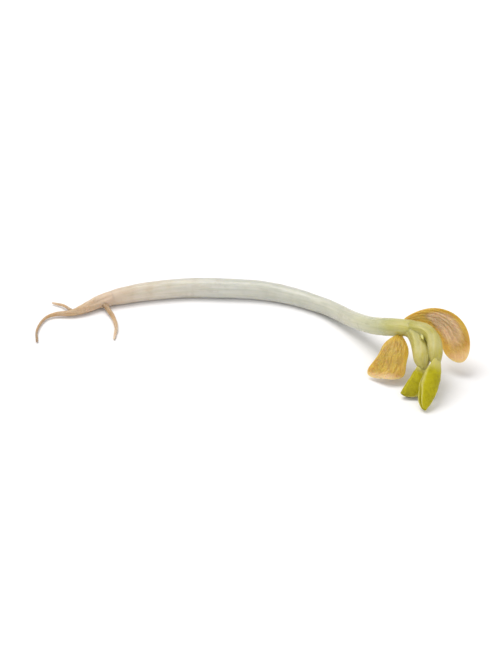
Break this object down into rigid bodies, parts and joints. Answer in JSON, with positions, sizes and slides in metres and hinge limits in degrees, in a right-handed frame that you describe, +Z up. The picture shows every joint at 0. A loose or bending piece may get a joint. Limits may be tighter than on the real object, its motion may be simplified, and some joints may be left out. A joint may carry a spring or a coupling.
{
  "type": "mung bean sprout",
  "caption": "Fresh mung bean sprout lying on its side: thin tan root, long white curved stem, green hook with folded leaves and spent seed halves.",
  "frame": {"origin": "middle of the sprout's plan, on the surface it lies on", "axes": "+X from the root end to the leaf end, +Y towards the outer side of the stem's arch, +Z up from the surface"},
  "size_m": [0.0662, 0.0392, 0.0088],
  "materials": {
    "white_stem": "moist, waxy, slightly translucent white",
    "green_stalk": "moist, waxy, slightly translucent pale yellow-green",
    "leaf_green": "soft satin yellow-green with fine veins and paler edges",
    "seed_amber": "shrivelled amber, satin",
    "root_tan": "thin dry tan skin, matte"
  },
  "bodies": {
    "root": {"taproot": "root_tan", "lateral_root_1": "root_tan", "lateral_root_2": "root_tan", "hypocotyl": "white_stem", "epicotyl": "green_stalk", "cotyledon_near": "seed_amber", "cotyledon_far": "seed_amber", "first_leaf_left": "leaf_green", "first_leaf_right": "leaf_green", "shoot_bud": "green_stalk"}
  },
  "joints": []
}
